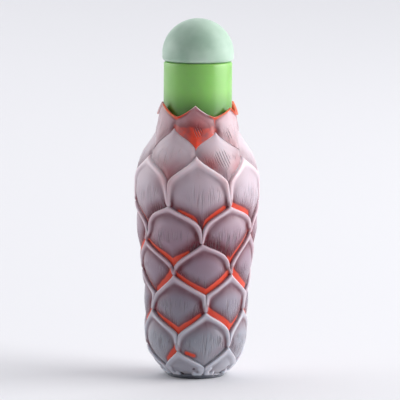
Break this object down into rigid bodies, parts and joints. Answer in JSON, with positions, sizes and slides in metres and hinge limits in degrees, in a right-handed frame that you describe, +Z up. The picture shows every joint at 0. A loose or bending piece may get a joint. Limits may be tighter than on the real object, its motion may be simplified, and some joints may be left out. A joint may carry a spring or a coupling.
{
  "type": "snuff bottle",
  "caption": "Small carved overlay glass snuff bottle shaped like a bud of overlapping pointed petals, hollow, with a plain neck and a domed lift-off stopper.",
  "frame": {"origin": "centre of the foot's flat underside, on the surface the bottle stands on", "axes": "+Z up along the bottle's axis to the stopper's dome, -Y towards the front as pictured, +X to the viewer's right"},
  "size_m": [0.0282, 0.028, 0.08],
  "materials": {
    "overlay_glass": "satin, acid-etched surface: grey to dusky rose coat with an orange-red layer in the deep cuts and a lime green neck",
    "stopper_glass": "satin, opaque pale celadon green"
  },
  "bodies": {
    "root": {"bottle": "overlay_glass", "stopper": "stopper_glass"}
  },
  "joints": []
}
